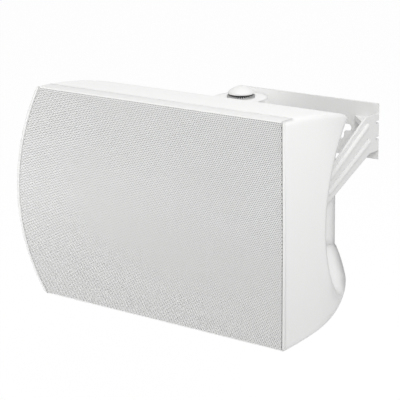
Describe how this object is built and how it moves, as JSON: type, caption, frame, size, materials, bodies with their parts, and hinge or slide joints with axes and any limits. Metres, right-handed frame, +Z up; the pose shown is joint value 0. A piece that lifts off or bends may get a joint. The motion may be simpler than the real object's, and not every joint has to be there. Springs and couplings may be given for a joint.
{
  "type": "wall loudspeaker",
  "caption": "Moulded wall loudspeaker with a crowned perforated grille and bowed ends, held between the arms of a U wall bracket on clamp knobs so that it tilts.",
  "frame": {"origin": "centre of the wall plate's back face, where the bracket meets the wall", "axes": "+Z up, +Y into the wall, -Y into the room, +X to the right of the bracket seen along +Y"},
  "size_m": [0.3, 0.2613, 0.2],
  "materials": {
    "bracket_paint": "satin powder coat",
    "cabinet_plastic": "fine moulded texture",
    "grille_paint": "satin powder coat on perforated sheet",
    "cloth": "open acoustic cloth",
    "board": "dark stained panel",
    "screw_steel": "zinc plated",
    "screw_white": "white paint",
    "basket_steel": "black paint",
    "cone_paper": "coated paper",
    "roll_rubber": "matte",
    "spider_cloth": "resin treated cloth",
    "copper": "enamelled copper wire",
    "plated_steel": "zinc plated",
    "ferrite": "sintered ferrite",
    "faceplate_plastic": "matte black",
    "dome_cloth": "coated silk",
    "knob_plastic": "smooth satin",
    "insert_brass": "turned",
    "cup_plastic": "matte black",
    "stud_brass": "nickel flashed",
    "cap_red": "moulded",
    "cap_black": "moulded",
    "circuit_board": "coated laminate",
    "standoff_plastic": "moulded",
    "capacitor_film": "wrapped film",
    "resistor_ceramic": "cement body"
  },
  "bodies": {
    "bracket": {"wall_bracket": "bracket_paint"},
    "cabinet": {"cabinet": "cabinet_plastic", "grille": "grille_paint", "grille_scrim": "cloth", "baffle": "board", "grille_screws": "screw_white", "baffle_screws": "screw_steel", "woofer_screws": "screw_steel", "tweeter_screws": "screw_steel", "woofer_frame": "basket_steel", "woofer_surround": "roll_rubber", "woofer_spider": "spider_cloth", "woofer_top_plate": "plated_steel", "woofer_magnet": "ferrite", "woofer_yoke": "plated_steel", "tweeter_faceplate": "faceplate_plastic", "tweeter_surround": "dome_cloth", "tweeter_top_plate": "plated_steel", "tweeter_magnet": "ferrite", "tweeter_yoke": "plated_steel", "threaded_inserts": "insert_brass", "terminal_cup": "cup_plastic", "terminal_stud_left": "stud_brass", "terminal_stud_right": "stud_brass", "terminal_screws": "screw_steel", "crossover_board": "circuit_board", "crossover_standoffs": "standoff_plastic", "crossover_coil": "copper", "crossover_capacitors": "capacitor_film", "crossover_resistors": "resistor_ceramic"},
    "woofer_diaphragm": {"woofer_cone": "cone_paper", "woofer_dust_cap": "cone_paper", "woofer_voice_coil": "copper"},
    "tweeter_diaphragm": {"tweeter_dome": "dome_cloth", "tweeter_voice_coil": "copper"},
    "knob_top": {"knob_top": "knob_plastic"},
    "knob_bottom": {"knob_bottom": "knob_plastic"},
    "knob_left": {"knob_left": "knob_plastic"},
    "knob_right": {"knob_right": "knob_plastic"},
    "terminal_cap_left": {"terminal_cap_left": "cap_black"},
    "terminal_cap_right": {"terminal_cap_right": "cap_red"}
  },
  "joints": [
    {"name": "tilt", "type": "hinge", "parent": "bracket", "child": "cabinet", "pos_m": [0, -0.113, -0.038], "axis": [1, 0, 0], "range_deg": [-8, 60]},
    {"name": "woofer_stroke", "type": "slide", "parent": "cabinet", "child": "woofer_diaphragm", "axis": [0, -1, 0], "range_m": [-0.003, 0.003], "stiffness_N_per_m": 1500, "deforming": ["woofer_surround", "woofer_spider"]},
    {"name": "tweeter_stroke", "type": "slide", "parent": "cabinet", "child": "tweeter_diaphragm", "axis": [0, -1, 0], "range_m": [-0.00025, 0.00025], "stiffness_N_per_m": 900, "deforming": ["tweeter_surround"]},
    {"name": "knob_top_turn", "type": "hinge", "parent": "cabinet", "child": "knob_top", "pos_m": [0, -0.113, 0.044], "axis": [0, 0, 1], "continuous": true},
    {"name": "knob_bottom_turn", "type": "hinge", "parent": "cabinet", "child": "knob_bottom", "pos_m": [0, -0.113, -0.12], "axis": [0, 0, -1], "continuous": true},
    {"name": "knob_right_turn", "type": "hinge", "parent": "cabinet", "child": "knob_right", "pos_m": [0.0828, -0.113, -0.038], "axis": [1, 0, 0], "continuous": true},
    {"name": "knob_left_turn", "type": "hinge", "parent": "cabinet", "child": "knob_left", "pos_m": [-0.0828, -0.113, -0.038], "axis": [-1, 0, 0], "continuous": true},
    {"name": "terminal_cap_left_turn", "type": "hinge", "parent": "cabinet", "child": "terminal_cap_left", "pos_m": [-0.01, -0.0845, -0.038], "axis": [0, 1, 0], "continuous": true},
    {"name": "terminal_cap_right_turn", "type": "hinge", "parent": "cabinet", "child": "terminal_cap_right", "pos_m": [0.01, -0.0845, -0.038], "axis": [0, 1, 0], "continuous": true}
  ]
}
